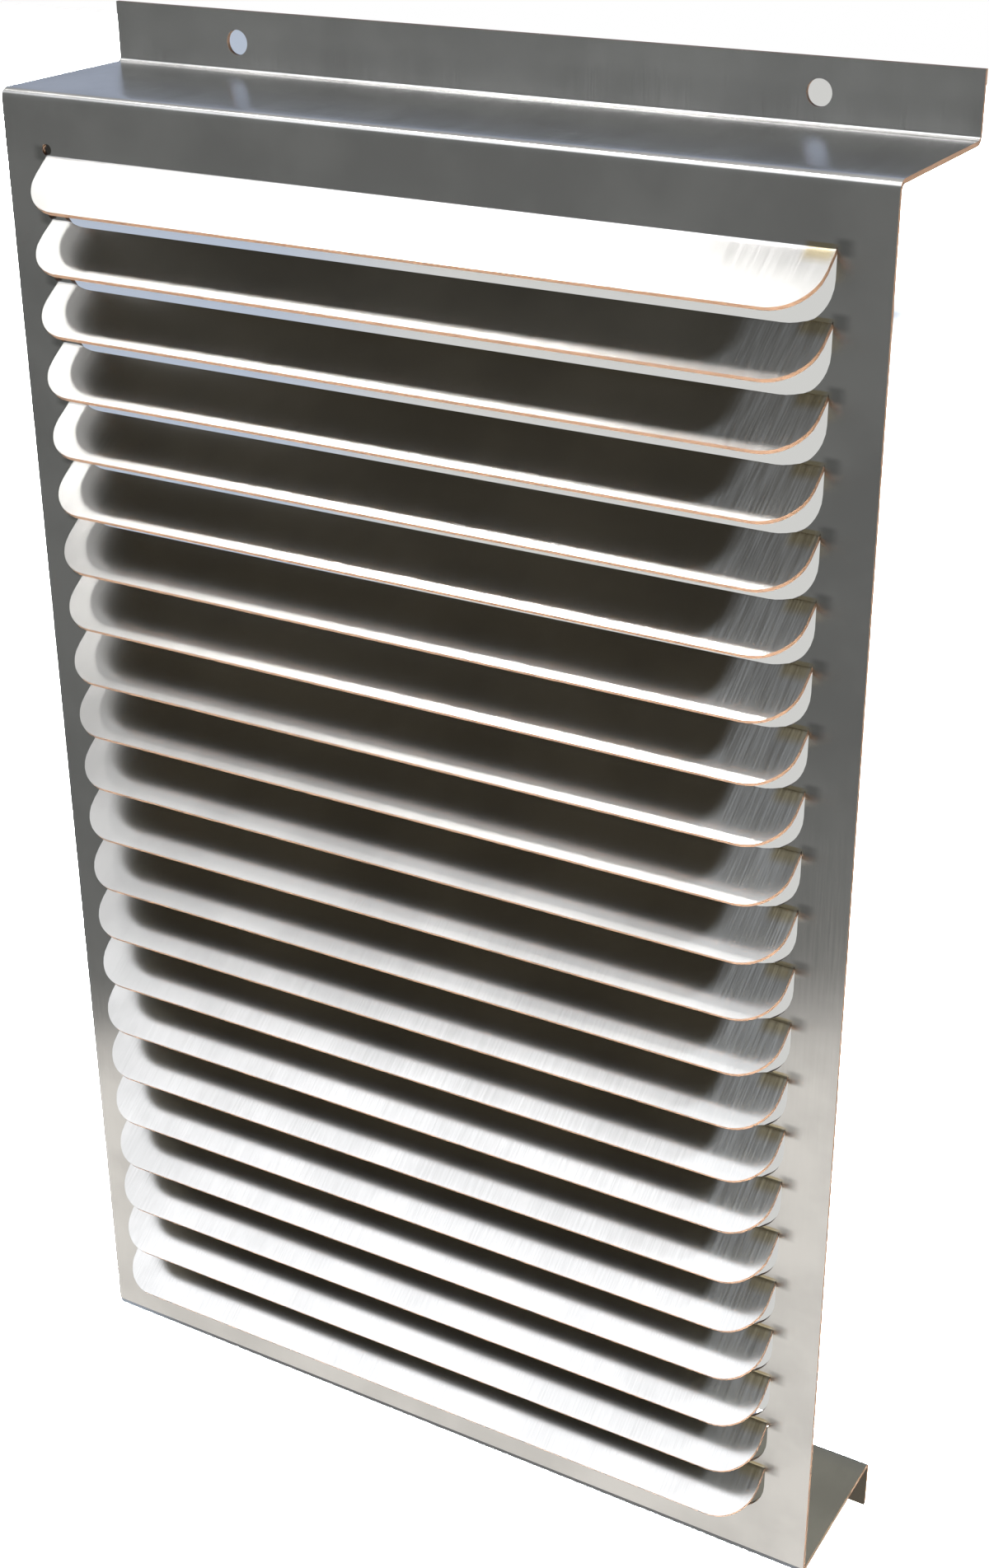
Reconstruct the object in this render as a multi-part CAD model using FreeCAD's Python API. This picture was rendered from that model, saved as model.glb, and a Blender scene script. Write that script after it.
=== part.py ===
import FreeCAD, Part
import math
import os

V = FreeCAD.Vector

# --- driving dimensions, millimetres and degrees ------------------------------
# The panel is one folded sheet: a louvred face, a ledge back at its top and
# foot, and an upright flange on each ledge that lies flat on the wall.
width = 300.0               # along X, cut edge to cut edge
face_height = 480.0         # front face, over both ledges
depth = 62.0                # wall plane to front face
sheet = 1.5                 # sheet thickness
fold_radius = 1.5           # inside radius of the four long folds
flange_height = 19.0        # each flange, beyond its ledge

hole_diameter = 8.0         # the two screw holes in the top flange
hole_spacing = 203.0        # between their centres
hole_height = 9.0           # their centre line, above the top ledge

louvre_pitch = 20.0
louvre_margin = 19.0        # top ledge down to the first louvre's bend line
side_margin = 16.5          # plain face left at each end of the louvres
foot_margin = 10.0          # least plain face left below the last cut
louvre_angle = 55.0         # swing out of the face
top_louvre_angle = 52.0     # the top one is bent along its whole length
bend_radius = 1.0           # inside radius of each louvre's bend
corner_radius = 14.0        # each louvre's two lower corners
foot_gap = 0.9              # a cut's foot lies this far past the next louvre's bend
kerf = 0.25                 # width of the cut round each louvre

pierce_diameter = 3.6       # round hole at the left end of each cut, where it starts
pierce_rise = 1.2           # its centre, above the bend line

# --- derived ------------------------------------------------------------------
# The wall plane is y = 0, and the screw holes' centre line is x across, z = 0.
front = -depth
ledge_top = -hole_height
ledge_foot = ledge_top - face_height
louvre_length = width - 2 * side_margin         # along X
half_length = louvre_length / 2
bend_length = math.radians(louvre_angle) * (bend_radius + 0.45 * sheet)
reach = louvre_pitch + bend_length + foot_gap   # bend line to free edge, laid flat
louvre_count = 1 + int((face_height - louvre_margin - reach - foot_margin) / louvre_pitch)


def rounded_face(corners, place):
    """Flat face inside the corners (a, b, radius), each rounded with its own arc.

    place turns the two flat coordinates into a point in space.
    """
    points = [place(a, b) for a, b, _ in corners]
    entries = []
    exits = []
    edges = []
    for i, (_, _, radius) in enumerate(corners):
        corner = points[i]
        back = (points[i - 1] - corner).normalize()
        ahead = (points[(i + 1) % len(points)] - corner).normalize()
        half_turn = back.getAngle(ahead) / 2
        trim = radius / math.tan(half_turn)
        entries.append(corner + back * trim)
        exits.append(corner + ahead * trim)
        if radius > 0:
            bisector = (back + ahead).normalize()
            middle = corner + bisector * (radius / math.sin(half_turn) - radius)
            edges.append(Part.Arc(entries[i], middle, exits[i]).toShape())
    for i in range(len(points)):
        edges.append(Part.LineSegment(exits[i - 1], entries[i]).toShape())
    return Part.Face(Part.Wire(Part.__sortEdges__(edges)))


def folded_sheet():
    """The sheet with its four long folds: flange, ledge, face, ledge, flange."""
    inner = fold_radius
    outer = fold_radius + sheet
    top = ledge_top + flange_height
    bottom = ledge_foot - flange_height
    section = [
        (-sheet, top, 0), (-sheet, ledge_top, inner),
        (front, ledge_top, outer), (front, ledge_foot, outer),
        (-sheet, ledge_foot, inner), (-sheet, bottom, 0),
        (0, bottom, 0), (0, ledge_foot + sheet, outer),
        (front + sheet, ledge_foot + sheet, inner), (front + sheet, ledge_top - sheet, inner),
        (0, ledge_top - sheet, outer), (0, top, 0),
    ]
    face = rounded_face(section, lambda y, z: V(-width / 2, y, z))
    return face.extrude(V(width, 0, 0))


def screw_holes():
    """Cutters for the two holes through the top flange, level with each other."""
    holes = []
    for x in (-hole_spacing / 2, hole_spacing / 2):
        holes.append(Part.makeCylinder(hole_diameter / 2, 3 * sheet, V(x, -2 * sheet, 0), V(0, 1, 0)))
    return holes


def flat_louvre(grow=0.0):
    """A louvre's outline through the sheet, laid flat below a bend line at z = 0.

    It is a tongue with two round lower corners. grow makes it larger all round
    but for the bend line, which gives the opening that the cut leaves.
    """
    side = half_length + grow
    foot = reach + grow
    radius = corner_radius + grow
    corners = [(-side, 0, 0), (side, 0, 0), (side, -foot, radius), (-side, -foot, radius)]
    return rounded_face(corners, lambda x, z: V(x, 0, z)).extrude(V(0, sheet, 0))


def swing(shape, angle):
    """Turn a louvre out of the face, about the centre line of its bend."""
    shape.rotate(V(0, -bend_radius, 0), V(1, 0, 0), -angle)
    return shape


def blade(angle, taken=None):
    """The flat part of a louvre, past its bend, swung out of the face.

    taken is what the cut above has already removed from it.
    """
    bend = math.radians(angle) * (bend_radius + 0.45 * sheet)
    tongue = flat_louvre()
    in_bend = Part.makeBox(2 * louvre_length, 3 * sheet, bend, V(-louvre_length, -sheet, -bend))
    tongue = tongue.cut(in_bend if taken is None else [in_bend, taken])
    tongue.translate(V(0, 0, bend))
    return swing(tongue, angle)


def whole_bend(angle):
    """A bend along the full length of a louvre: part of a ring in section."""
    start = Part.makePlane(louvre_length, sheet, V(-half_length, 0, 0), V(0, 0, 1))
    return start.revolve(V(0, -bend_radius, 0), V(1, 0, 0), -angle)


def cut_half_length(below_bend):
    """Half the length of the cut above, at this distance past a louvre's bend line.

    The foot of that cut lies just past the bend, so the bend crosses its two
    round corners and is left as a short neck outside each of them.
    """
    above_foot = bend_length + foot_gap - below_bend
    radius = corner_radius + kerf
    drop = corner_radius - above_foot
    return half_length - corner_radius + math.sqrt(radius ** 2 - drop ** 2)


def neck(side):
    """One neck that carries a louvre, a short bend with a curved inner edge.

    It is lofted through cross-sections at the start, middle and end of the bend.
    """
    sections = []
    for share in (0.0, 0.5, 1.0):
        turn = math.radians(louvre_angle) * share
        inner_edge = cut_half_length(bend_length * share)
        corners = []
        for x, radius in ((inner_edge, bend_radius), (half_length, bend_radius),
                          (half_length, bend_radius + sheet), (inner_edge, bend_radius + sheet)):
            corners.append(V(side * x, radius * math.cos(turn) - bend_radius, -radius * math.sin(turn)))
        sections.append(Part.makePolygon(corners + corners[:1]))
    return Part.makeLoft(sections, True)


def top_louvre():
    """The first louvre, with nothing cut above it, bent along its whole length."""
    return whole_bend(top_louvre_angle).fuse(blade(top_louvre_angle)).removeSplitter()


def necked_louvre():
    """Any other louvre: the cut above frees it but for a neck at each end."""
    opening_above = flat_louvre(kerf)
    opening_above.translate(V(0, 0, louvre_pitch))
    return blade(louvre_angle, opening_above).multiFuse([neck(-1), neck(1)])


def pierce_hole():
    """Cutter for the round hole where a louvre's cut starts, at its left end."""
    centre = V(-half_length, -2 * sheet, pierce_rise)
    return Part.makeCylinder(pierce_diameter / 2, 4 * sheet, centre, V(0, 1, 0))


def row_of(shapes):
    """Copies of one shape, or of a first and a following one, down the face."""
    placed = []
    for i in range(louvre_count):
        copy = shapes[min(i, len(shapes) - 1)].copy()
        copy.translate(V(0, front, ledge_top - louvre_margin - i * louvre_pitch))
        placed.append(copy)
    return placed


def louvred_panel():
    """The whole panel as one solid."""
    panel = folded_sheet().cut(screw_holes() + row_of([flat_louvre(kerf)]))
    panel = panel.multiFuse(row_of([top_louvre(), necked_louvre()]))
    return panel.cut(row_of([pierce_hole()])).Solids[0]


os.makedirs("parts", exist_ok=True)
panel = louvred_panel()
print(louvre_count, "louvres,", len(panel.Solids), "solid, valid:", panel.isValid())
panel.exportStep("parts/louvred_panel.step")
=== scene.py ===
"""Louvred sheet metal panel: its finished surfaces, its metal, and the studio round it.

Metres, in the same frame as the solid: +X across, +Y into the wall, +Z up.
"""

import math

import bpy
import numpy as np
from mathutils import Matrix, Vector


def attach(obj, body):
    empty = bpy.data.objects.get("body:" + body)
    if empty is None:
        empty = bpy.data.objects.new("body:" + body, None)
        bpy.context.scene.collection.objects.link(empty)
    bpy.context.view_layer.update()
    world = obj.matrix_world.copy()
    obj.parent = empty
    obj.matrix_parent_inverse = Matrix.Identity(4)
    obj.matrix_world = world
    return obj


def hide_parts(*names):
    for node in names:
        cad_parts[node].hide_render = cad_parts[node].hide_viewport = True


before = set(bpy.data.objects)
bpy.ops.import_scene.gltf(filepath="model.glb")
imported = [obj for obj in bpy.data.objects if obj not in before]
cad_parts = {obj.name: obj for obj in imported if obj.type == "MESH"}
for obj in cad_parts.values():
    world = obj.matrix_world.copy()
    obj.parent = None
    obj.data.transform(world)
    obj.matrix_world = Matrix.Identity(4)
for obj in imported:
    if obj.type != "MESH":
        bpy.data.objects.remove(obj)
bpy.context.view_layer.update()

MM = 0.001

# --- the panel's own dimensions, millimetres ----------------------------------
WIDTH = 300.0
DEPTH = 62.0
SHEET = 1.5
FOLD = 1.5                  # inside radius of the long folds
FLANGE = 19.0               # each flange, beyond its ledge
LEDGE_TOP = -9.0            # the ledges' outer faces, from the screw holes' line
LEDGE_FOOT = -489.0
HOLE_R = 4.0                # the two screw holes
HOLE_X = 101.5

PITCH = 20.0
COUNT = 22
FIRST_BEND = -28.0          # the first louvre's bend line
HALF = 133.5                # half a louvre's length
ANGLE = math.radians(55.0)  # swing out of the face
TOP_ANGLE = math.radians(52.0)
BEND_R = 1.0                # inside radius of a louvre's bend
CORNER = 14.0               # its two lower corners
FOOT_GAP = 0.9              # a cut's foot lies this far past the next louvre's bend
KERF = 0.25                 # width of the cut round each louvre
PIERCE_R = 1.8              # round hole at the left end of each cut, where it starts
PIERCE_RISE = 1.2           # its centre, above the bend line

FRONT = -DEPTH
NEUTRAL_R = BEND_R + 0.45 * SHEET   # radius that keeps its length in the bend
BEND_LEN = ANGLE * NEUTRAL_R
REACH = PITCH + BEND_LEN + FOOT_GAP     # bend line to free edge, laid flat
CUT_R = CORNER + KERF       # a cut's round corner
CUT_SIDE = HALF + KERF
CORNER_X = HALF - CORNER    # the corners' centres
STRAIGHT = REACH - CORNER   # bend line down to the corners' centres
PIERCE_DROP = PIERCE_R - PIERCE_RISE    # the hole's lowest point, below the bend line
CLOSES = math.sqrt(CUT_R ** 2 - CORNER ** 2)    # where a cut is as wide as its louvre

# --- how the surfaces are divided, millimetres --------------------------------
BLOCK = 6.0                 # half the square block round a screw hole
FADE = 5.0                  # the round hole's pull on the columns dies out over this
NECK_STOPS = (129.4, 131.0, 132.3, 133.1)   # columns across a neck, closer to its end
MARGIN_SHARES = np.array([0, 0.25, 0.5, 0.8, 1.0])
LEDGE_SHARES = np.array([0.1, 0.5, 0.9])
FOLD_SHARES = np.linspace(0, 1, 9)
FIRST_FACE_ROW = 5.0        # below the top fold
FOOT_FLANGE_ROW = 8.0       # below the lower flange's fold
SMALL = 1e-6

# each louvre's own slight tilt, twist and bow: standard deviations in degrees
UNEVEN = (0.35, 0.15, 0.2)


# ------------------------------------------------------------------------------
# Surfaces: every patch is a grid of points on the sheet's front skin with its
# outward normals. The patches are welded, and the back skin and the cut edges
# follow from them.
# ------------------------------------------------------------------------------

def notch(above):
    """How far the round hole at a cut's start reaches from its centre line,
    at a height above the bend line: half a chord of its circle."""
    return np.sqrt(np.clip(PIERCE_R ** 2 - (above - PIERCE_RISE) ** 2, 0, None))


def near_left_end(x):
    """1 at the louvres' left ends, falling evenly to 0 a little way in."""
    return np.clip((-x - (HALF - FADE)) / FADE, 0, 1)


def cut_half(below):
    """Half the cut's length at a distance below its bend line: straight sides,
    then the quarter circles of its two lower corners."""
    drop = np.clip(below - STRAIGHT, 0, CUT_R)
    return CORNER_X + np.sqrt(np.clip(CUT_R ** 2 - drop ** 2, 0, None))


def profile(s):
    """Point and normal of the front skin's section at path length s.

    The section runs down the top flange, forward over the ledge, down the face,
    back under the foot ledge and down the lower flange: straight runs joined by
    quarter circles. Returns y, z and the normal's y, z as arrays.
    """
    inner, outer = FOLD, FOLD + SHEET
    runs = [
        ("line", (-SHEET, LEDGE_TOP + FLANGE), (0, -1), FLANGE - inner),
        ("arc", (-SHEET - inner, LEDGE_TOP + inner), 0.0, -90.0, inner, -1),
        ("line", (-SHEET - inner, LEDGE_TOP), (-1, 0), DEPTH - SHEET - inner - outer),
        ("arc", (FRONT + outer, LEDGE_TOP - outer), 90.0, 180.0, outer, 1),
        ("line", (FRONT, LEDGE_TOP - outer), (0, -1), LEDGE_TOP - LEDGE_FOOT - 2 * outer),
        ("arc", (FRONT + outer, LEDGE_FOOT + outer), 180.0, 270.0, outer, 1),
        ("line", (FRONT + outer, LEDGE_FOOT), (1, 0), DEPTH - SHEET - inner - outer),
        ("arc", (-SHEET - inner, LEDGE_FOOT - inner), 90.0, 0.0, inner, -1),
        ("line", (-SHEET, LEDGE_FOOT - inner), (0, -1), FLANGE - inner),
    ]
    s = np.asarray(s, float)
    out = np.zeros(s.shape + (4,))
    start = 0.0
    hair = 1e-9
    for run in runs:
        if run[0] == "line":
            _, (y0, z0), (dy, dz), length = run
            along = s - start
            values = np.stack([y0 + dy * along, z0 + dz * along,
                               np.full_like(s, dz), np.full_like(s, -dy)], -1)
        else:
            _, (yc, zc), a0, a1, radius, sign = run
            length = math.radians(abs(a1 - a0)) * radius
            turn = np.radians(a0 + (a1 - a0) * (s - start) / length)
            values = np.stack([yc + radius * np.cos(turn), zc + radius * np.sin(turn),
                               sign * np.cos(turn), sign * np.sin(turn)], -1)
        here = (s >= start - hair) & (s <= start + length + hair)
        out[here] = values[here]
        start += length
    return out


def run_starts():
    """Path lengths where the section's nine runs start, and its end."""
    inner, outer = FOLD, FOLD + SHEET
    flange, ledge = FLANGE - inner, DEPTH - SHEET - inner - outer
    face = LEDGE_TOP - LEDGE_FOOT - 2 * outer
    quarter = math.pi / 2
    lengths = [flange, quarter * inner, ledge, quarter * outer, face,
               quarter * outer, ledge, quarter * inner, flange]
    return np.concatenate([[0.0], np.cumsum(lengths)])


def section_grid(x, s):
    """A grid patch of the folded sheet: x (rows, columns) at path lengths s (rows)."""
    at = profile(s)
    x = np.broadcast_to(x, (len(s), np.shape(x)[-1]))
    ones = np.ones_like(x)
    point = np.stack([x, at[:, None, 0] * ones, at[:, None, 1] * ones], -1)
    normal = np.stack([0 * x, at[:, None, 2] * ones, at[:, None, 3] * ones], -1)
    return point, normal


def face_grid(x, z):
    """A grid patch of the flat face: x (rows, columns) at heights z (rows)."""
    x = np.broadcast_to(x, (len(z), np.shape(x)[-1]))
    point = np.stack([x, np.full_like(x, FRONT), np.broadcast_to(z[:, None], x.shape)], -1)
    normal = np.zeros_like(point)
    normal[..., 1] = -1
    return point, normal


def distinct(*parts):
    """The parts' values in order, each one once."""
    return np.unique(np.round(np.concatenate(parts), 6))


def spread(a, b, share):
    """Values from a to b at the given shares, for arrays a and b of rows."""
    return np.asarray(a)[:, None] * (1 - share) + np.asarray(b)[:, None] * share


def louvre_grid(xs, bend_z, angle, free, tilt, twist, bow):
    """One louvre, its bend or necks included, as one grid patch.

    In the flat it is bounded above by the cut over it and below by its own
    round corners. Each flat point goes onto the bend's arc or, past the bend,
    onto the straight blade. free is False where the whole length is bent.
    tilt, twist and bow are small changes of the blade's angle along its length.
    """
    bend = angle * NEUTRAL_R
    drop = np.clip(np.abs(xs) - CORNER_X, 0, None)
    top = np.zeros_like(drop)
    if free:
        reach_above = REACH - PITCH + KERF
        top = reach_above - CUT_R + np.sqrt(np.clip(CUT_R ** 2 - drop ** 2, 0, None))
        top = np.clip(top, 0, None)
    foot = STRAIGHT + np.sqrt(np.clip(CORNER ** 2 - drop ** 2, 0, None))
    in_bend = np.linspace(0, 1, 6)[:, None]
    upper = top + (np.maximum(bend, top) - top) * in_bend
    on_blade = np.array([0.06, 0.2, 0.4, 0.6, 0.8, 0.93, 1.0])[:, None]
    lower = upper[-1] + (foot - upper[-1]) * on_blade
    d = np.concatenate([upper, lower])
    inset = np.where(d < PIERCE_DROP, notch(-d), 0.0)
    x = xs + inset * near_left_end(xs)
    along = x / HALF
    bent = np.clip(d / bend, 0, 1)
    full = angle + tilt + twist * along + bow * (1 - along ** 2)
    turn = full * bent
    past = np.clip(d - bend, 0, None)
    y = FRONT - BEND_R + BEND_R * np.cos(turn) - past * np.sin(full)
    z = bend_z - BEND_R * np.sin(turn) - past * np.cos(full)
    point = np.stack([x, y, z], -1)
    normal = np.stack([0 * x, -np.cos(turn), np.sin(turn)], -1)
    return point, normal


def columns():
    """The x positions that the louvres share with the sheet around them:
    across the middle, towards the right end, and across the right neck."""
    corner = CORNER_X + CORNER * np.sin(np.radians([0, 9, 18]))
    bend_in = math.sqrt(CUT_R ** 2 - (CORNER - FOOT_GAP) ** 2) + CORNER_X
    root_in = float(cut_half(np.array(PITCH)))
    neck = np.array([root_in, *NECK_STOPS, HALF])
    side = np.concatenate([corner, [bend_in, (bend_in + root_in) / 2], neck])
    middle = np.linspace(-CORNER_X, CORNER_X, 15)[1:-1]
    return middle, distinct(side), neck


def hole_block():
    """Offsets of the square block of the flange that holds a screw hole."""
    return np.linspace(-BLOCK, BLOCK, 9)


def ring_patch(x0, z0):
    """The square block round a screw hole: rings of points blended from the
    square's boundary to the hole's circle, each along a ray from the centre."""
    t = hole_block()
    n = len(t) - 1
    square = np.concatenate([
        np.stack([t, np.full(n + 1, t[-1])], -1)[:-1],
        np.stack([np.full(n + 1, t[-1]), t[::-1]], -1)[:-1],
        np.stack([t[::-1], np.full(n + 1, t[0])], -1)[:-1],
        np.stack([np.full(n + 1, t[0]), t], -1)[:-1]])
    square = np.concatenate([square, square[:1]])
    turn = np.arctan2(square[:, 1], square[:, 0])
    circle = HOLE_R * np.stack([np.cos(turn), np.sin(turn)], -1)
    share = np.array([0, 0.5, 0.85, 1.0])[:, None, None]
    flat = square * (1 - share) + circle * share
    point = np.stack([x0 + flat[..., 0], np.full(flat.shape[:2], -SHEET), z0 + flat[..., 1]], -1)
    normal = np.zeros_like(point)
    normal[..., 1] = -1
    return point, normal


def period_rows():
    """Distances below a bend line for one pitch of the face beside the louvres,
    close together across the round corner and the next cut's round hole."""
    straight = [0.0, 0.2, 0.4, 0.5, PIERCE_DROP, 3.0, 6.0, STRAIGHT]
    arc = STRAIGHT + np.concatenate([[CLOSES], CUT_R * np.sin(np.radians([22, 30, 37, 44]))])
    turns = np.radians([90, 75, 60, 45, 30, 15, 0, -15, -30])
    hole = PITCH - PIERCE_RISE - PIERCE_R * np.sin(turns)
    rows = np.concatenate([straight, arc, hole, [PITCH]])
    return distinct(rows[rows <= PITCH])


def last_rows():
    """The same below the last bend line, where the cut's whole foot shows."""
    rows = period_rows()
    turns = np.radians([11, 22, 33, 44, 54, 63, 71, 78, 84, 90])
    return distinct(rows[rows <= STRAIGHT + SMALL], STRAIGHT + CUT_R * np.sin(turns),
                    [STRAIGHT + CLOSES])


def across(middle_x):
    """The sheet's whole width: its left margin, the given columns, its right margin."""
    return np.concatenate([spread([-WIDTH / 2], [-HALF], MARGIN_SHARES)[0][:-1], middle_x,
                           spread([CUT_SIDE], [WIDTH / 2], MARGIN_SHARES)[0]])


def margins(z, left_edge, right_edge):
    """The plain strips of the face outside the louvres, at heights z."""
    ends = np.full(len(z), WIDTH / 2)
    return [face_grid(spread(-ends, left_edge, MARGIN_SHARES), z),
            face_grid(spread(right_edge, ends, MARGIN_SHARES), z)]


def top_patches(top_x):
    """The top flange with its screw holes, the ledge, and the face down to the
    first bend line."""
    starts = run_starts()
    flange_z = np.concatenate([[FLANGE + LEDGE_TOP], hole_block()[::-1]])
    flange_s = FLANGE + LEDGE_TOP - flange_z
    s = np.concatenate([flange_s, starts[1] + (starts[2] - starts[1]) * FOLD_SHARES,
                        starts[2] + (starts[3] - starts[2]) * LEDGE_SHARES,
                        starts[3] + (starts[4] - starts[3]) * FOLD_SHARES])
    whole = across(top_x)
    rows = len(flange_s)
    patches = [section_grid(whole, s[:2]), section_grid(whole, s[rows - 1:])]
    for low, high in ((-WIDTH / 2, -HOLE_X - BLOCK), (-HOLE_X + BLOCK, HOLE_X - BLOCK),
                      (HOLE_X + BLOCK, WIDTH / 2)):
        some = whole[(whole >= low - SMALL) & (whole <= high + SMALL)]
        patches.append(section_grid(some, s[1:rows]))
    patches += [ring_patch(x0, 0.0) for x0 in (-HOLE_X, HOLE_X)]

    above = PITCH - period_rows()
    above = above[above <= PIERCE_RISE + PIERCE_R + SMALL]
    face_z = LEDGE_TOP - FOLD - SHEET
    z = np.concatenate([[face_z, face_z - FIRST_FACE_ROW], FIRST_BEND + above])
    hole = notch(z - FIRST_BEND)
    patches += margins(z, -HALF - hole, np.full(len(z), CUT_SIDE))
    patches.append(face_grid(top_x + hole[:, None] * near_left_end(top_x), z))
    patches.append(face_grid(np.broadcast_to([HALF, CUT_SIDE], (len(z), 2)), z))
    return patches


def beside_louvre(bend_z, neck_share, last):
    """One pitch of the face beside a louvre: its margins and, lower down, the
    teeth between its round corners and the next louvre's necks."""
    d = last_rows() if last else period_rows()
    z = bend_z - d
    edge = cut_half(d)
    own = np.where(d < PIERCE_DROP + SMALL, notch(-d), 0.0)
    following = np.zeros(len(d)) if last else notch(PITCH - d)
    beside = d <= STRAIGHT + SMALL
    tooth = d >= STRAIGHT - SMALL
    patches = margins(z[beside], -HALF - np.maximum(KERF, own[beside]), edge[beside])
    z, edge, hole = z[tooth], edge[tooth], following[tooth]
    side, end = np.full(len(z), CUT_SIDE), np.full(len(z), HALF)
    patches += margins(z, -np.maximum(HALF, edge) - hole, side)
    inner = spread(np.minimum(edge, HALF), end, neck_share)
    patches.append(face_grid(inner, z))
    patches.append(face_grid(spread(np.maximum(edge, HALF), side, np.array([0.0, 1.0])), z))
    pulled = -inner + hole[:, None] * near_left_end(-inner)
    patches.append(face_grid(pulled[:, ::-1], z))
    return patches


def foot_patches(middle, neck_share):
    """The face below the last cut, the foot's ledge and the lower flange."""
    starts = run_starts()
    foot_z = FIRST_BEND - (COUNT - 1) * PITCH - REACH - KERF
    toe = CORNER_X + neck_share * (HALF - CORNER_X)
    whole = across(distinct(middle, -toe, toe))
    s = np.concatenate([starts[5] + (starts[6] - starts[5]) * FOLD_SHARES,
                        starts[6] + (starts[7] - starts[6]) * LEDGE_SHARES,
                        starts[7] + (starts[8] - starts[7]) * FOLD_SHARES,
                        [starts[8] + FOOT_FLANGE_ROW, starts[9]]])
    return [face_grid(whole, np.array([foot_z, LEDGE_FOOT + FOLD + SHEET])),
            section_grid(whole, s)]


def skin_patches(rng):
    """All patches of the panel's front skin. The top louvre is bent along its
    whole length; the others are bent only at the necks that their cuts leave."""
    middle, side, neck = columns()
    clear = middle[np.abs(np.abs(middle) - HOLE_X) > BLOCK + 1]
    top_x = distinct(clear, -side, side, -HOLE_X + hole_block(), HOLE_X + hole_block())
    low_x = distinct(middle, -side, side)
    neck_share = (neck - neck[0]) / (neck[-1] - neck[0])
    patches = top_patches(top_x)
    for k in range(COUNT):
        bend_z = FIRST_BEND - k * PITCH
        patches += beside_louvre(bend_z, neck_share, last=k == COUNT - 1)
        uneven = np.radians(rng.normal(0, UNEVEN))
        if k == 0:
            patches.append(louvre_grid(top_x, bend_z, TOP_ANGLE, False, *uneven))
        else:
            patches.append(louvre_grid(low_x, bend_z, ANGLE, True, *uneven))
    return patches + foot_patches(middle, neck_share)


def weld(patches):
    """Joins grid patches into one skin, in which patches that touch share their
    corners. Returns its points, their normals and its four-cornered faces."""
    points = np.concatenate([p.reshape(-1, 3) for p, _ in patches])
    normals = np.concatenate([n.reshape(-1, 3) for _, n in patches])
    corners = []
    start = 0
    for point, _ in patches:
        rows, cols = point.shape[:2]
        index = start + np.arange(rows * cols).reshape(rows, cols)
        corners.append(np.stack([index[:-1, :-1], index[1:, :-1], index[1:, 1:],
                                 index[:-1, 1:]], -1).reshape(-1, 4))
        start += rows * cols
    quads = np.concatenate(corners)
    off_centre = 1.3e-5         # so that no round value falls halfway between two steps
    _, first, back = np.unique(np.round(points + off_centre, 4), axis=0, return_index=True,
                               return_inverse=True)
    quads = back.reshape(-1)[quads]
    return points[first], normals[first], quads


def tidy_faces(points, normals, quads):
    """Drops faces without area, sorts the rest into true quads and triangles, and
    turns them to face along the normals."""
    same = quads == np.roll(quads, -1, 1)
    crossing = (quads[:, 0] == quads[:, 2]) | (quads[:, 1] == quads[:, 3])
    lost = same.sum(1)
    keep4 = quads[(lost == 0) & ~crossing]
    some = quads[(lost == 1) & ~crossing]
    gone = same[(lost == 1) & ~crossing]
    order = (np.argmax(gone, 1)[:, None] + 1 + np.arange(3)) % 4
    keep3 = np.take_along_axis(some, order, 1)
    least_area = 1e-7
    faces = []
    for part in (keep4, keep3):
        a, b, c = points[part[:, 0]], points[part[:, 1]], points[part[:, 2]]
        d = points[part[:, -1]]
        area = np.cross(b - a, c - a) + (np.cross(c - a, d - a) if part.shape[1] == 4 else 0)
        facing = np.einsum("ij,ij->i", area, normals[part[:, 0]] + normals[part[:, 1]]
                           + normals[part[:, 2]])
        solid = np.linalg.norm(area, axis=1) > least_area
        part = np.where((facing < 0)[:, None], part[:, ::-1], part)[solid]
        faces.append(part)
    return faces


def thicken(points, normals, faces):
    """The closed sheet: the front skin, the back skin one thickness behind it,
    and a strip along every free edge. Returns points, faces and each face's
    finish: 0 front, 1 back, 2 cut edge."""
    count = len(points)
    both = np.concatenate([points, points - SHEET * normals])
    sides = np.concatenate([np.stack([f, np.roll(f, -1, 1)], -1).reshape(-1, 2) for f in faces])
    key = np.sort(sides, 1)
    code = key[:, 0].astype(np.int64) * count + key[:, 1]
    _, where, times = np.unique(code, return_inverse=True, return_counts=True)
    free = sides[times[where.reshape(-1)] == 1]
    rim = np.stack([free[:, 1], free[:, 0], free[:, 0] + count, free[:, 1] + count], -1)
    groups = [faces[0], faces[1], faces[0][:, ::-1] + count, faces[1][:, ::-1] + count, rim]
    finish = np.concatenate([np.full(len(g), m) for g, m in zip(groups, (0, 0, 1, 1, 2))])
    return both, groups, finish


def make_mesh(name, points, groups, finish):
    """A mesh from whole arrays of corners, in metres."""
    mesh = bpy.data.meshes.new(name)
    sizes = np.concatenate([np.full(len(g), g.shape[1]) for g in groups])
    loops = np.concatenate([g.reshape(-1) for g in groups])
    mesh.vertices.add(len(points))
    mesh.vertices.foreach_set("co", (points * MM).astype(np.float32).reshape(-1))
    mesh.loops.add(len(loops))
    mesh.loops.foreach_set("vertex_index", loops.astype(np.int32))
    mesh.polygons.add(len(sizes))
    starts = np.concatenate([[0], np.cumsum(sizes)[:-1]])
    mesh.polygons.foreach_set("loop_start", starts.astype(np.int32))
    mesh.polygons.foreach_set("material_index", finish.astype(np.int32))
    mesh.update(calc_edges=True)
    mesh.validate()
    return mesh


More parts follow.
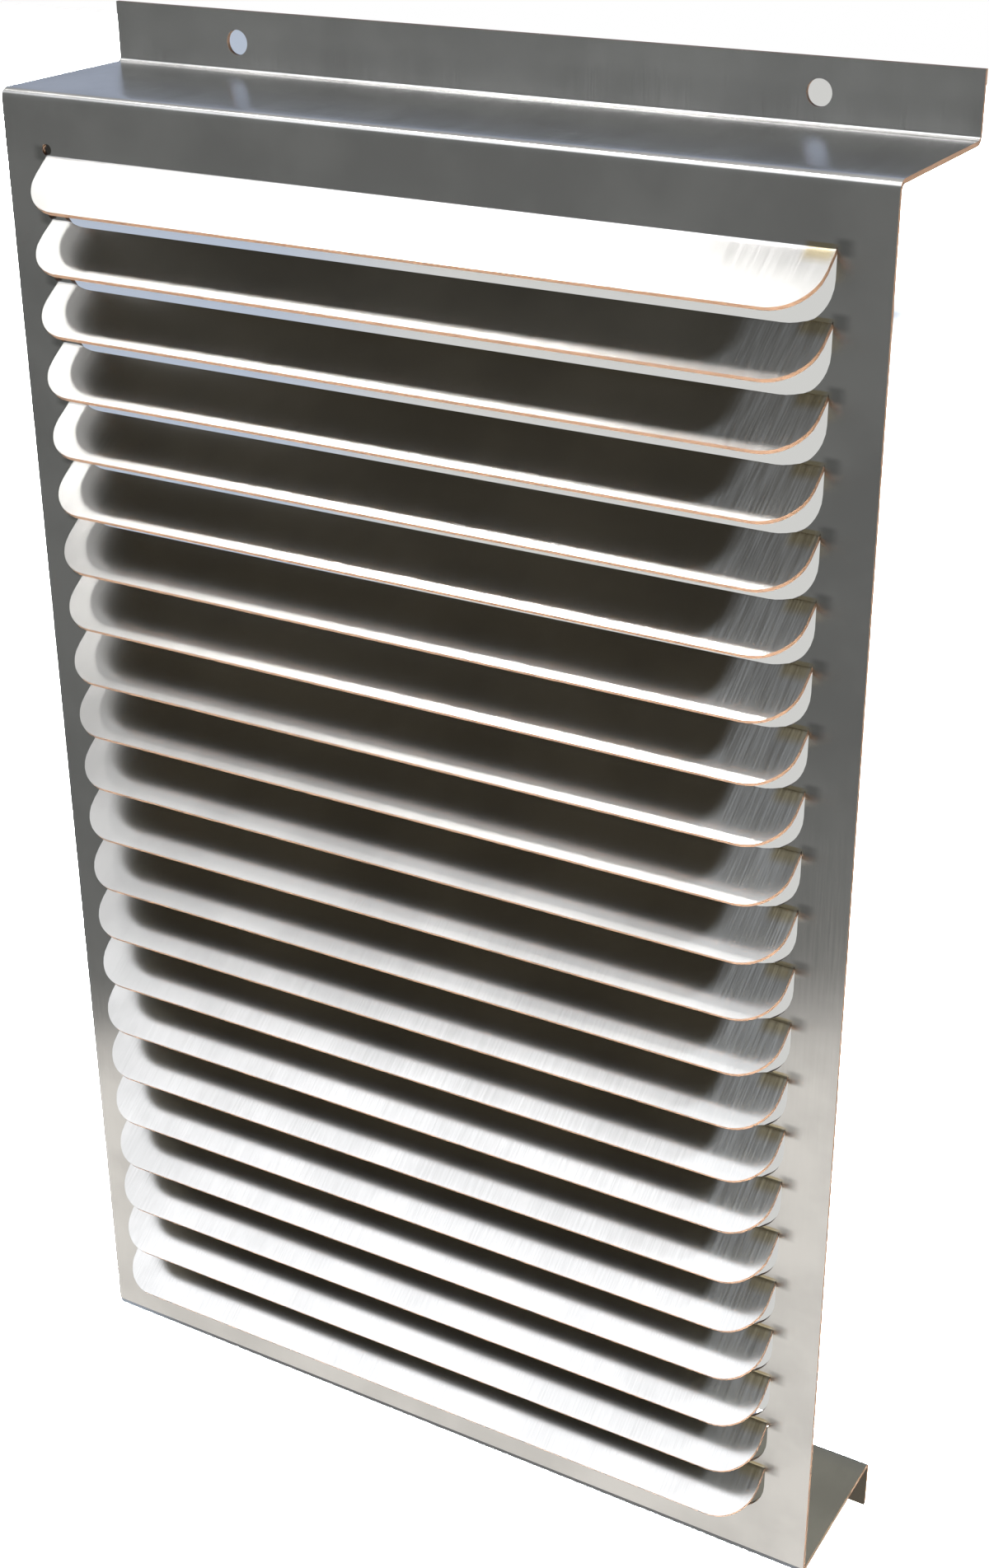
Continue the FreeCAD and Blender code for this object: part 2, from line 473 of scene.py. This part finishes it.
def build_panel():
    """The panel's object, at the origin, and its mesh."""
    points, normals, quads = weld(skin_patches(np.random.default_rng(7)))
    faces = tidy_faces(points, normals, quads)
    mesh = make_mesh("sheet_panel", *thicken(points, normals, faces))
    panel = bpy.data.objects.new("sheet_panel", mesh)
    bpy.context.scene.collection.objects.link(panel)
    return panel, mesh


panel, mesh = build_panel()


# ------------------------------------------------------------------------------
# Materials
# ------------------------------------------------------------------------------

def node_tree(name):
    """A new material whose tree holds only its output and a Principled shader."""
    material = bpy.data.materials.new(name)
    material.use_nodes = True
    tree = material.node_tree
    tree.nodes.clear()
    output = tree.nodes.new("ShaderNodeOutputMaterial")
    shader = tree.nodes.new("ShaderNodeBsdfPrincipled")
    tree.links.new(shader.outputs["BSDF"], output.inputs["Surface"])
    return material, tree, shader


def mix_colour(tree, factor, low, high):
    """A colour mix; each argument is a socket to link or a plain value."""
    node = tree.nodes.new("ShaderNodeMix")
    node.data_type = "RGBA"
    for socket, value in ((node.inputs[0], factor), (node.inputs[6], low), (node.inputs[7], high)):
        if isinstance(value, bpy.types.NodeSocket):
            tree.links.new(value, socket)
        else:
            socket.default_value = value if isinstance(value, float) else (*value, 1)
    return node.outputs[2]


def ramp(tree, value, start, end):
    """Rises smoothly from 0 at start to 1 at end; start may be above end."""
    node = tree.nodes.new("ShaderNodeMapRange")
    node.interpolation_type = "SMOOTHSTEP"
    node.inputs["From Min"].default_value = start
    node.inputs["From Max"].default_value = end
    tree.links.new(value, node.inputs["Value"])
    return node.outputs["Result"]


def maths(tree, operation, first, second=0.0):
    """A maths node on sockets or plain numbers."""
    node = tree.nodes.new("ShaderNodeMath")
    node.operation = operation
    for socket, value in zip(node.inputs, (first, second)):
        if isinstance(value, bpy.types.NodeSocket):
            tree.links.new(value, socket)
        else:
            socket.default_value = value
    return node.outputs[0]


def near_necks(tree, split, inner, outer, above, below):
    """1 in a soft box at both ends of each louvre, 0 elsewhere.

    The box lies between the distances inner and outer from the middle, and
    above and below the bend line by shares of the pitch.
    """
    inner_blur, outer_blur = 1.5, 2.0
    x = maths(tree, "ABSOLUTE", split.outputs["X"])
    sideways = maths(tree, "MULTIPLY",
                     ramp(tree, x, (inner - inner_blur) * MM, (inner + inner_blur) * MM),
                     ramp(tree, x, (outer + outer_blur) * MM, (outer - outer_blur) * MM))
    down = maths(tree, "SUBTRACT", (FIRST_BEND + above * PITCH) * MM, split.outputs["Z"])
    share = maths(tree, "FLOORED_MODULO", maths(tree, "DIVIDE", down, PITCH * MM), 1.0)
    upright = maths(tree, "MULTIPLY", ramp(tree, share, 0.0, above * 0.6),
                    ramp(tree, share, above + below, above + below * 0.4))
    rows = maths(tree, "MULTIPLY", maths(tree, "GREATER_THAN", down, 0.0),
                 maths(tree, "LESS_THAN", down, COUNT * PITCH * MM))
    return maths(tree, "MULTIPLY", maths(tree, "MULTIPLY", sideways, upright), rows)


FRONT_STEEL = (0.64, 0.63, 0.615)
BACK_STEEL = (0.34, 0.31, 0.235)
BURNT_EDGE = (0.10, 0.055, 0.03)
NECK_SHADE_COLOUR = (0.20, 0.20, 0.19)         # painted shade in the face beside each cut's end
NECK_SHADE_AMOUNT = 0.55
HEAT_TINT = (0.50, 0.43, 0.29)      # tan of the right necks
CLOUD_DARKENING = 0.86
ACROSS_GRAIN = 0.25                 # turns the blur to run across the grain


def grain_noise(tree, where):
    """Fine streaks down the sheet: noise that changes fast only across it."""
    stretch = tree.nodes.new("ShaderNodeMapping")
    stretch.inputs["Scale"].default_value = (2000, 55, 55)
    tree.links.new(where, stretch.inputs["Vector"])
    noise = tree.nodes.new("ShaderNodeTexNoise")
    noise.inputs["Scale"].default_value = 1.0
    noise.inputs["Detail"].default_value = 2.0
    tree.links.new(stretch.outputs["Vector"], noise.inputs["Vector"])
    return noise.outputs["Fac"]


def clouded(tree, where, base):
    """The base colour with faint darker clouds from handling."""
    cloud = tree.nodes.new("ShaderNodeTexNoise")
    cloud.inputs["Scale"].default_value = 26.0
    cloud.inputs["Detail"].default_value = 4.0
    tree.links.new(where, cloud.inputs["Vector"])
    darker = tuple(CLOUD_DARKENING * channel for channel in base)
    return mix_colour(tree, ramp(tree, cloud.outputs["Fac"], 0.35, 0.65), darker, base)


def paint_neck_shade_and_tint(tree, where, colour):
    """The colour with painted shade in the face at both ends of each cut, and a
    tan heat tint on the right necks."""
    split = tree.nodes.new("ShaderNodeSeparateXYZ")
    tree.links.new(where, split.inputs["Vector"])
    # painted shade: a soft dark box in the face just past both ends of each cut
    shade_mask = near_necks(tree, split, inner=HALF, outer=138.0, above=0.16, below=0.16)
    shade_mask = maths(tree, "MULTIPLY", shade_mask, NECK_SHADE_AMOUNT)
    colour = mix_colour(tree, shade_mask, colour, NECK_SHADE_COLOUR)
    tint = near_necks(tree, split, inner=125.0, outer=HALF, above=0.06, below=0.22)
    right_side = maths(tree, "GREATER_THAN", split.outputs["X"], 0.0)
    return mix_colour(tree, maths(tree, "MULTIPLY", tint, right_side), colour, HEAT_TINT)


def brushed(name, base, roughness, grain, with_neck_shade_and_tint=False):
    """Metal with a fine grain that runs down the sheet over every fold."""
    material, tree, shader = node_tree(name)
    nodes, link = tree.nodes, tree.links.new
    shader.inputs["Metallic"].default_value = 1.0
    shader.inputs["Anisotropic"].default_value = 0.75
    shader.inputs["Anisotropic Rotation"].default_value = ACROSS_GRAIN
    where = nodes.new("ShaderNodeTexCoord").outputs["Object"]

    streaks = grain_noise(tree, where)
    rough = nodes.new("ShaderNodeMapRange")
    rough.inputs["From Min"].default_value = 0.3
    rough.inputs["From Max"].default_value = 0.7
    rough.inputs["To Min"].default_value = roughness - 0.025
    rough.inputs["To Max"].default_value = roughness + 0.025
    link(streaks, rough.inputs["Value"])
    link(rough.outputs["Result"], shader.inputs["Roughness"])
    bump = nodes.new("ShaderNodeBump")
    bump.inputs["Strength"].default_value = grain
    bump.inputs["Distance"].default_value = 0.02 * MM
    link(streaks, bump.inputs["Height"])
    link(bump.outputs["Normal"], shader.inputs["Normal"])

    colour = clouded(tree, where, base)
    if with_neck_shade_and_tint:
        colour = paint_neck_shade_and_tint(tree, where, colour)
    link(colour, shader.inputs["Base Color"])

    # the tangent runs up and down the sheet on every face
    geometry = nodes.new("ShaderNodeNewGeometry")
    cross = nodes.new("ShaderNodeVectorMath")
    cross.operation = "CROSS_PRODUCT"
    cross.inputs[1].default_value = (1, 0, 0)
    link(geometry.outputs["Normal"], cross.inputs[0])
    link(cross.outputs["Vector"], shader.inputs["Tangent"])
    return material


def burnt(name, base):
    """The dull brown edge that the cutting leaves."""
    material, _, shader = node_tree(name)
    shader.inputs["Base Color"].default_value = (*base, 1)
    shader.inputs["Metallic"].default_value = 0.7
    shader.inputs["Roughness"].default_value = 0.45
    return material


mesh.materials.append(brushed("brushed_steel_front", FRONT_STEEL, 0.24, 0.26, with_neck_shade_and_tint=True))
mesh.materials.append(brushed("dull_steel_back", BACK_STEEL, 0.4, 0.3))
mesh.materials.append(burnt("laser_cut_edge", BURNT_EDGE))

bevel = panel.modifiers.new("edges", "BEVEL")
bevel.width = 0.1 * MM      # the broken edges
bevel.segments = 1
bevel.limit_method = "ANGLE"
bevel.angle_limit = math.radians(50)
bevel.harden_normals = True
mesh.polygons.foreach_set("use_smooth", np.ones(len(mesh.polygons), bool))

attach(panel, "root")
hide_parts("louvred_panel")


# ------------------------------------------------------------------------------
# Studio
# ------------------------------------------------------------------------------

ROOM = (0.205, 0.21, 0.205)         # the dark room in front
BEHIND = (0.40, 0.45, 0.56)         # the paler end behind
SHADE = (0.46, 0.52, 0.61)          # what fills the floor's shadows
FLOOR_LIGHT = (1.06, 1.03, 0.98)    # the floor close in front, as the metal mirrors it
FLOOR_SHADOW_BEHIND = (0.16, 0.14, 0.11)   # painted shadow: the floor under and behind the face, as the metal mirrors it
FLOOR_HALF = 3.0
FLOOR_AIM = (0.53, 0.848)           # square to the edge where the bright part starts
FLOOR_EDGE = -0.362                 # that edge's distance along FLOOR_AIM
# painted shade: the card's blue-grey and grey stand in for the shaded floor and room behind the
# panel
CARD_LEFT = (0.46, 0.52, 0.62)
CARD_RIGHT = (0.62, 0.62, 0.60)
CARD_DARK = (0.03, 0.028, 0.025)    # its left end, behind the cuts' round holes
CARD_BACK = 0.004                   # its distance behind the wall plane
# soft patches of light overhead: middle, outer and inner radius in degrees, colour
GLOWS = [
    ((-0.10, 0.0, 1.0), 60, 25, (0.62, 0.62, 0.61)),
    ((-0.40, -0.45, 0.80), 16, 10, (2.3, 2.35, 2.45)),
]
WHITE = (1.0, 1.0, 1.0)


def sky_world():
    """Studio surroundings as the metal mirrors them: dark in front, pale blue
    behind, and soft patches of light overhead. The backdrop is plain white."""
    world = bpy.data.worlds.new("studio")
    bpy.context.scene.world = world
    world.use_nodes = True
    tree = world.node_tree
    nodes, link = tree.nodes, tree.links.new
    nodes.clear()
    output = nodes.new("ShaderNodeOutputWorld")
    path = nodes.new("ShaderNodeLightPath")
    where = nodes.new("ShaderNodeTexCoord")
    split = nodes.new("ShaderNodeSeparateXYZ")
    link(where.outputs["Generated"], split.inputs["Vector"])
    behind = ramp(tree, split.outputs["Y"], 0.2, 0.7)
    colour = mix_colour(tree, behind, ROOM, BEHIND)
    for aim, outer, inner, light in GLOWS:
        near = nodes.new("ShaderNodeVectorMath")
        near.operation = "DOT_PRODUCT"
        near.inputs[1].default_value = Vector(aim).normalized()
        link(where.outputs["Generated"], near.inputs[0])
        share = ramp(tree, near.outputs["Value"], math.cos(math.radians(outer)),
                     math.cos(math.radians(inner)))
        colour = mix_colour(tree, share, colour, light)
    seen = mix_colour(tree, path.outputs["Is Glossy Ray"], SHADE, colour)
    seen = mix_colour(tree, path.outputs["Is Camera Ray"], seen, WHITE)
    shader = nodes.new("ShaderNodeBackground")
    link(seen, shader.inputs["Color"])
    link(shader.outputs["Background"], output.inputs["Surface"])


def flat_sheet(name, corners):
    """A flat sheet of one face through its corners, in metres."""
    mesh = bpy.data.meshes.new(name)
    mesh.from_pydata(corners, [], [tuple(range(len(corners)))])
    made = bpy.data.objects.new(name, mesh)
    bpy.context.scene.collection.objects.link(made)
    material = bpy.data.materials.new(name)
    material.use_nodes = True
    material.node_tree.nodes.clear()
    mesh.materials.append(material)
    return made, material.node_tree


def plain_floor():
    """A pale floor. The metal mirrors it bright close in front of the panel and
    dark beyond; under and behind the face it is painted dark as the panel's shadow."""
    z = (LEDGE_FOOT - FLANGE) * MM
    ends = ((-1, -1), (1, -1), (1, 1), (-1, 1))
    floor, tree = flat_sheet("floor", [(x * FLOOR_HALF, y * FLOOR_HALF, z) for x, y in ends])
    nodes, link = tree.nodes, tree.links.new
    output = nodes.new("ShaderNodeOutputMaterial")
    path = nodes.new("ShaderNodeLightPath")
    where = nodes.new("ShaderNodeTexCoord")
    lit = nodes.new("ShaderNodeBsdfDiffuse")
    lit.inputs["Color"].default_value = (0.9, 0.9, 0.9, 1)
    along = nodes.new("ShaderNodeVectorMath")
    along.operation = "DOT_PRODUCT"
    along.inputs[1].default_value = (*FLOOR_AIM, 0)
    link(where.outputs["Object"], along.inputs[0])
    split = nodes.new("ShaderNodeSeparateXYZ")
    link(where.outputs["Object"], split.inputs["Vector"])
    bright = ramp(tree, along.outputs["Value"], FLOOR_EDGE - 0.03, FLOOR_EDGE + 0.03)
    colour = mix_colour(tree, bright, ROOM, FLOOR_LIGHT)
    # painted shadow of the panel on the floor under and behind its face
    under = ramp(tree, split.outputs["Y"], FRONT * MM, FRONT * MM + 0.01)
    colour = mix_colour(tree, under, colour, FLOOR_SHADOW_BEHIND)
    plain = nodes.new("ShaderNodeEmission")
    link(colour, plain.inputs["Color"])
    mix = nodes.new("ShaderNodeMixShader")
    link(path.outputs["Is Glossy Ray"], mix.inputs[0])
    link(lit.outputs["BSDF"], mix.inputs[1])
    link(plain.outputs["Emission"], mix.inputs[2])
    link(mix.outputs["Shader"], output.inputs["Surface"])
    return floor


def grey_card():
    """A grey card close behind the panel, seen only through its openings. It is
    painted shade, standing in for the shaded floor and room behind the panel.

    It is one-sided, dark at its left end behind the cuts' round holes, and cut
    away above that end, so that it stays hidden behind the top ledge.
    """
    left, right, foot, top = -0.2, 0.116, -0.486, 0.008
    step = -0.125
    outline = [(left, foot), (right, foot), (right, top), (step, top), (step, -0.012),
               (-0.15, -0.013), (left, -0.027)]
    card, tree = flat_sheet("grey_card", [(x, CARD_BACK, z) for x, z in outline])
    nodes, link = tree.nodes, tree.links.new
    output = nodes.new("ShaderNodeOutputMaterial")
    where = nodes.new("ShaderNodeTexCoord")
    split = nodes.new("ShaderNodeSeparateXYZ")
    link(where.outputs["Object"], split.inputs["Vector"])
    colour = mix_colour(tree, ramp(tree, split.outputs["X"], -0.11, -0.02),
                        CARD_LEFT, CARD_RIGHT)
    colour = mix_colour(tree, ramp(tree, split.outputs["X"], -0.186, -0.182),
                        CARD_DARK, colour)
    plain = nodes.new("ShaderNodeEmission")
    link(colour, plain.inputs["Color"])
    clear = nodes.new("ShaderNodeBsdfTransparent")
    side = nodes.new("ShaderNodeNewGeometry")
    mix = nodes.new("ShaderNodeMixShader")
    link(side.outputs["Backfacing"], mix.inputs[0])
    link(plain.outputs["Emission"], mix.inputs[1])
    link(clear.outputs["BSDF"], mix.inputs[2])
    link(mix.outputs["Shader"], output.inputs["Surface"])
    card.visible_glossy = False
    card.visible_diffuse = False
    card.visible_shadow = False
    return card


def lamp(name, place, aim, size, energy, colour, only):
    """A square soft lamp turned to a point; it lights one object only.

    Its light does not fall off with distance, so a wide floor stays even.
    """
    data = bpy.data.lights.new(name, "AREA")
    data.size = size
    data.color = colour
    data.use_nodes = True
    tree = data.node_tree
    even = tree.nodes.new("ShaderNodeLightFalloff")
    even.inputs["Strength"].default_value = energy
    shine = next(n for n in tree.nodes if n.type == "EMISSION")
    tree.links.new(even.outputs["Constant"], shine.inputs["Strength"])
    made = bpy.data.objects.new(name, data)
    made.location = place
    away = Vector(place) - Vector(aim)
    made.rotation_euler = away.to_track_quat("Z", "Y").to_euler()
    bpy.context.scene.collection.objects.link(made)
    group = bpy.data.collections.new(name + "_lights")
    group.objects.link(only)
    made.light_linking.receiver_collection = group


def take_view(place, turn, lens):
    """The camera at a place, turned by three angles in degrees."""
    data = bpy.data.cameras.new("camera")
    data.lens = lens
    camera = bpy.data.objects.new("camera", data)
    camera.location = place
    camera.rotation_euler = [math.radians(angle) for angle in turn]
    bpy.context.scene.collection.objects.link(camera)
    bpy.context.scene.camera = camera


sky_world()
floor = plain_floor()
grey_card()

CENTRE = Vector((0, -0.07, -0.25))
LAMP_DISTANCE = 2.2
KEY = CENTRE + LAMP_DISTANCE * Vector((-0.41, -0.08, 0.91)).normalized()
SIDE = CENTRE + LAMP_DISTANCE * Vector((0.776, 0.0, 0.631)).normalized()
VIEWPOINT = (0.3581, -0.6304, 0.1136)
ABOVE_VIEWPOINT = (0.3581, -0.6304, 0.19)   # so that the floor's shadows fall behind the panel
FAR_FLOOR = (0.0, 0.6, -0.508)

lamp("key_lamp", KEY, CENTRE, 0.15, 0.2, (1, 0.99, 0.97), only=panel)
lamp("side_lamp", SIDE, CENTRE, 0.2, 4.5, (0.86, 0.93, 1), only=panel)
lamp("floor_lamp", ABOVE_VIEWPOINT, FAR_FLOOR, 0.04, 120.0, WHITE, only=floor)
take_view(VIEWPOINT, (63.715, 0.390, 29.948), lens=52.71)
bpy.context.scene.view_settings.view_transform = "Standard"
